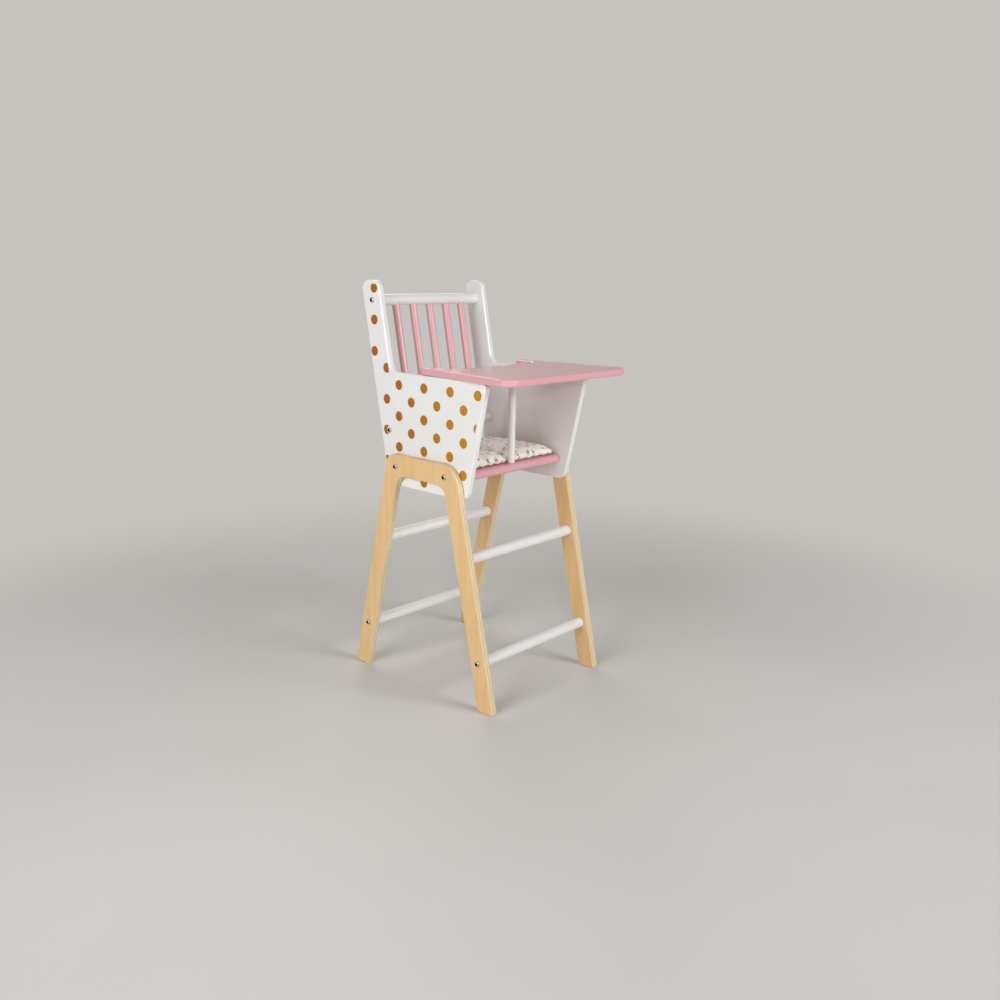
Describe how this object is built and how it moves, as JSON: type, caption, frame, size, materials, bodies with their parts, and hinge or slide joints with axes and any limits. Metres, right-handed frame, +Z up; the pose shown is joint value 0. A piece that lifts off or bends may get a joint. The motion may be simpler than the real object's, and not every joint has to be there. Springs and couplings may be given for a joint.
{
  "type": "doll high chair",
  "caption": "Doll-sized wooden high chair: lacquered side panels, splayed ply leg frames, round rungs, spindle back, lift-off tray with crotch post, loose stitched seat pad.",
  "frame": {"origin": "on the floor under the middle of the chair's bounding box, tray included", "axes": "+Z up, the chair faces -Y, +X is to the right of a viewer in front of the chair; left and right in the names are that viewer's"},
  "size_m": [0.2478, 0.305, 0.5602],
  "materials": {
    "white_lacquer": "white lacquer, satin",
    "pink_lacquer": "pink lacquer, satin",
    "birch_ply": "clear lacquered birch ply",
    "bright_steel": "bright plated",
    "cotton": "printed woven cotton, filled",
    "bare_beech": "bare wood"
  },
  "bodies": {
    "chair_frame": {"left_side_panel": "white_lacquer", "right_side_panel": "white_lacquer", "left_leg_frame": "birch_ply", "right_leg_frame": "birch_ply", "front_lower_rung": "white_lacquer", "front_upper_rung": "white_lacquer", "rear_lower_rung": "white_lacquer", "rear_upper_rung": "white_lacquer", "top_rail": "white_lacquer", "lower_back_rail": "white_lacquer", "back_spindle_1": "pink_lacquer", "back_spindle_2": "pink_lacquer", "back_spindle_3": "pink_lacquer", "back_spindle_4": "pink_lacquer", "back_spindle_5": "pink_lacquer", "seat_board": "pink_lacquer", "crotch_post": "white_lacquer", "left_front_frame_screw": "bright_steel", "right_front_frame_screw": "bright_steel", "left_rear_frame_screw": "bright_steel", "right_rear_frame_screw": "bright_steel", "left_front_rung_screw": "bright_steel", "right_front_rung_screw": "bright_steel", "left_rear_rung_screw": "bright_steel", "right_rear_rung_screw": "bright_steel", "left_low_rail_screw": "bright_steel", "right_low_rail_screw": "bright_steel", "left_top_rail_screw": "bright_steel", "right_top_rail_screw": "bright_steel"},
    "tray": {"tray": "pink_lacquer", "left_front_tray_peg": "bare_beech", "left_rear_tray_peg": "bare_beech", "right_front_tray_peg": "bare_beech", "right_rear_tray_peg": "bare_beech"},
    "cushion": {"seat_cushion": "cotton"}
  },
  "joints": [
    {"name": "tray_lift", "type": "slide", "parent": "chair_frame", "child": "tray", "axis": [0, 0, 1], "range_m": [0, 0.15]},
    {"name": "cushion_lift", "type": "slide", "parent": "chair_frame", "child": "cushion", "axis": [0, 0, 1], "range_m": [0, 0.1]}
  ]
}
